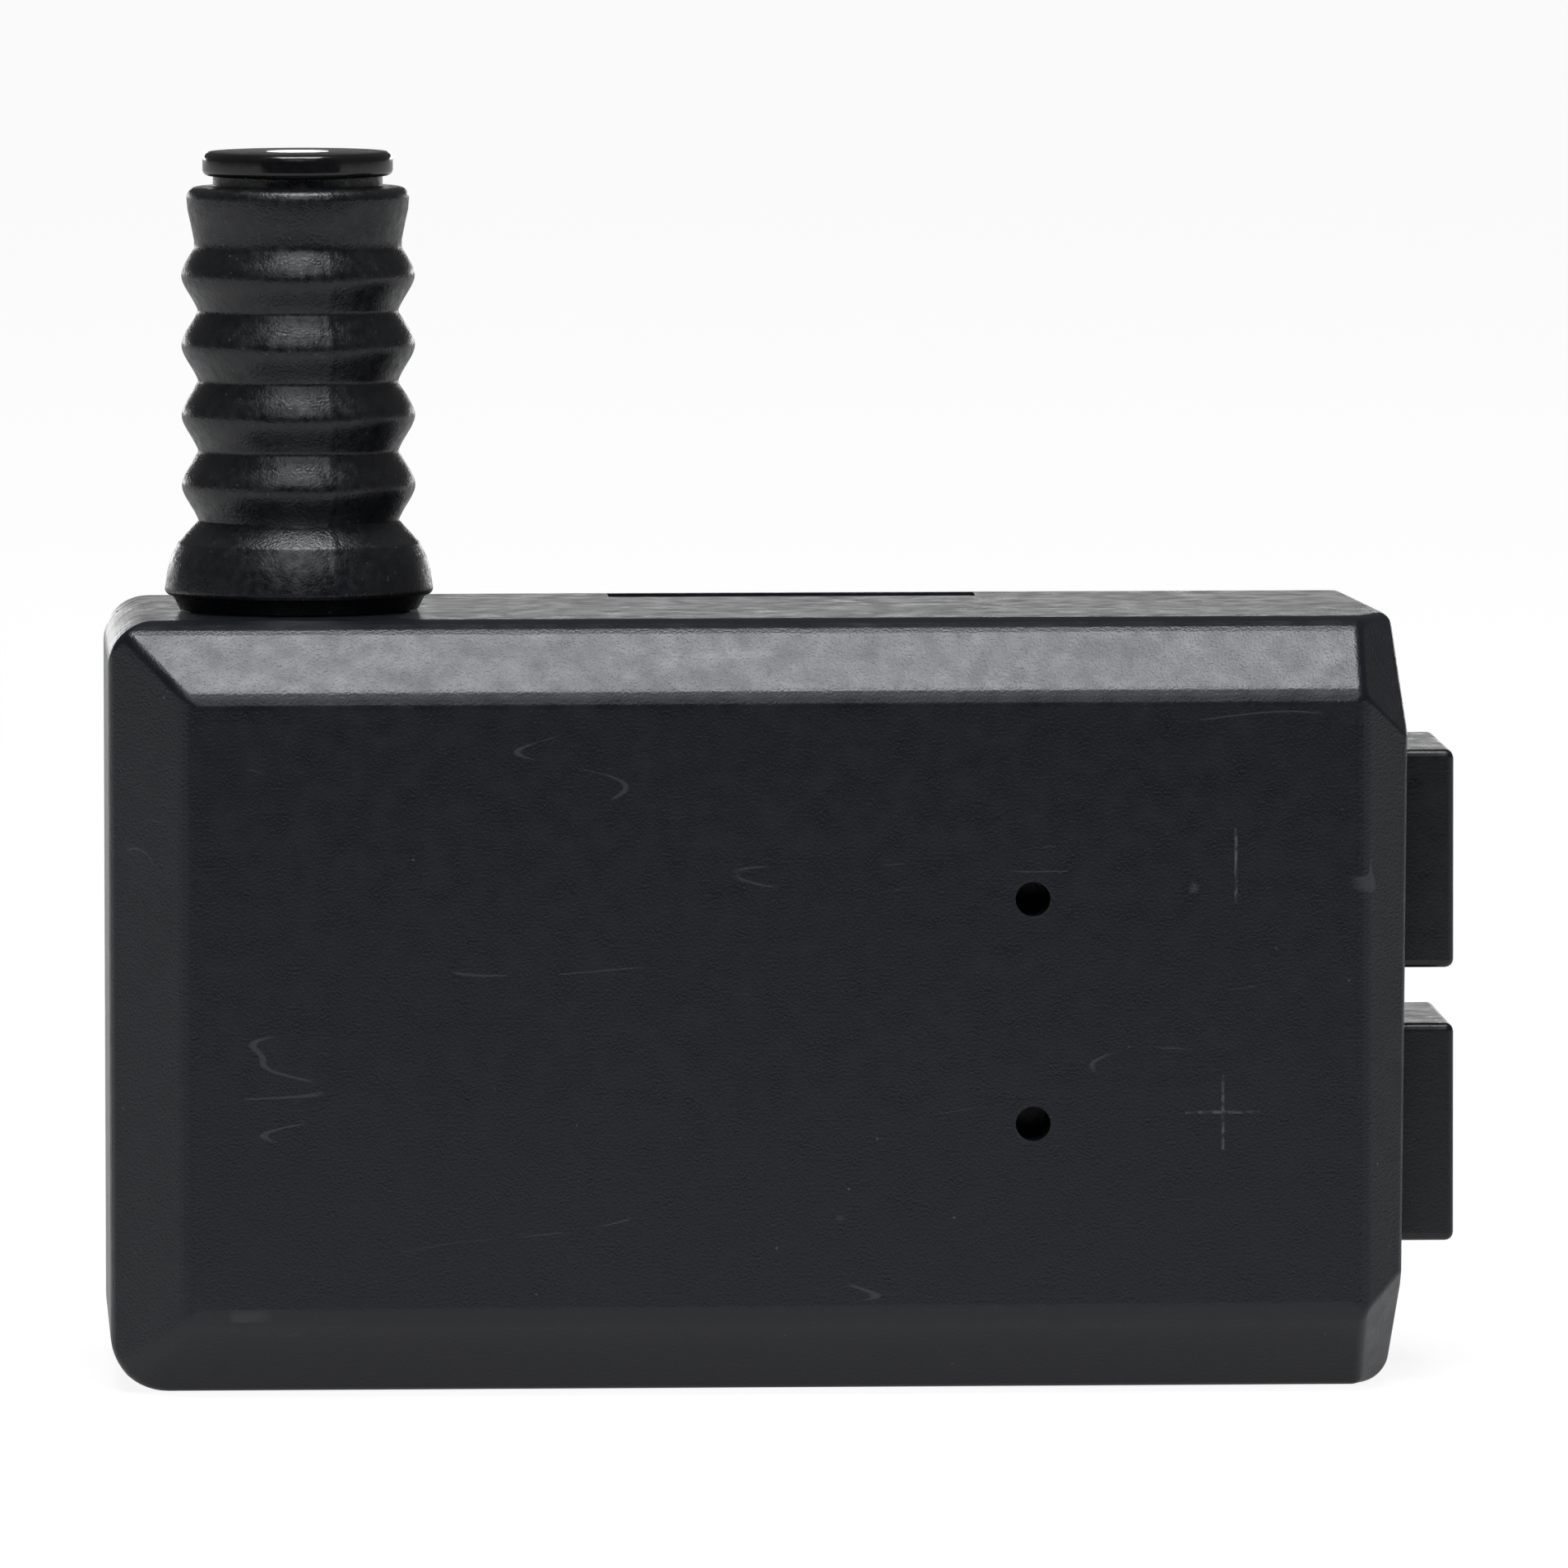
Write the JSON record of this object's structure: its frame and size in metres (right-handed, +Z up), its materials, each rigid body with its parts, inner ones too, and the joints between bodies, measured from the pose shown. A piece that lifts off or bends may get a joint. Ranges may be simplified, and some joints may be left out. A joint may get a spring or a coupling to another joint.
{
  "type": "sealed plunger switch",
  "caption": "Sealed DC power switch: black moulded box with a bellows-booted push plunger on top and shrouded blade terminals at one end.",
  "frame": {"origin": "centre of the whole object's box, at the bottom face it stands on", "axes": "+Z up along the plunger, +X towards the terminal shrouds, -Y towards the bevelled front face"},
  "size_m": [0.0416, 0.016, 0.038],
  "materials": {
    "case_plastic": "moulded black nylon, fine spark-eroded texture",
    "shroud_plastic": "black moulded plastic, smoother than the case",
    "boot_rubber": "black moulded rubber, satin",
    "cap_plastic": "glossy black plastic",
    "acetal": "natural ivory acetal",
    "sealant": "dark grey sealant",
    "seal_rubber": "red-brown silicone rubber",
    "spring_steel": "drawn stainless spring wire",
    "copper_strip": "bare rolled copper",
    "tinned_brass": "tin-plated brass strip",
    "silver_contact": "silver alloy, satin",
    "magnet": "nickel-plated magnet"
  },
  "bodies": {
    "case": {"housing": "case_plastic", "rear_cover": "case_plastic", "seam_sealant": "sealant", "guide_bush": "acetal", "bellows_boot": "boot_rubber", "return_spring": "spring_steel", "fixed_contact": "silver_contact", "negative_terminal": "tinned_brass", "positive_terminal": "tinned_brass", "upper_terminal_shroud": "shroud_plastic", "lower_terminal_shroud": "shroud_plastic", "upper_terminal_seal": "seal_rubber", "lower_terminal_seal": "seal_rubber", "front_magnet": "magnet", "rear_magnet": "magnet"},
    "plunger": {"plunger_rod": "acetal", "plunger_cap": "cap_plastic", "pusher_spring": "spring_steel"},
    "pusher": {"pusher": "acetal"},
    "rocker": {"contact_rocker": "copper_strip", "moving_contact": "silver_contact"}
  },
  "joints": [
    {"name": "plunger_slide", "type": "slide", "parent": "case", "child": "plunger", "axis": [0, 0, -1], "range_m": [0, 0.005], "stiffness_N_per_m": 1000, "springref_m": -0.004, "deforming": ["bellows_boot", "return_spring"]},
    {"name": "rocker_hinge", "type": "hinge", "parent": "case", "child": "rocker", "pos_m": [-0.0034, 0, 0.0146], "axis": [0, -1, 0], "range_deg": [0, 18]},
    {"name": "pusher_slide", "type": "slide", "parent": "plunger", "child": "pusher", "axis": [-1, 0, 0], "range_m": [0, 0.0005], "stiffness_N_per_m": 1000, "springref_m": -0.001, "deforming": ["pusher_spring"]}
  ],
  "couplings": [
    {"joint": "rocker_hinge", "follows": "plunger_slide", "rad_per_m": 62.83}
  ]
}
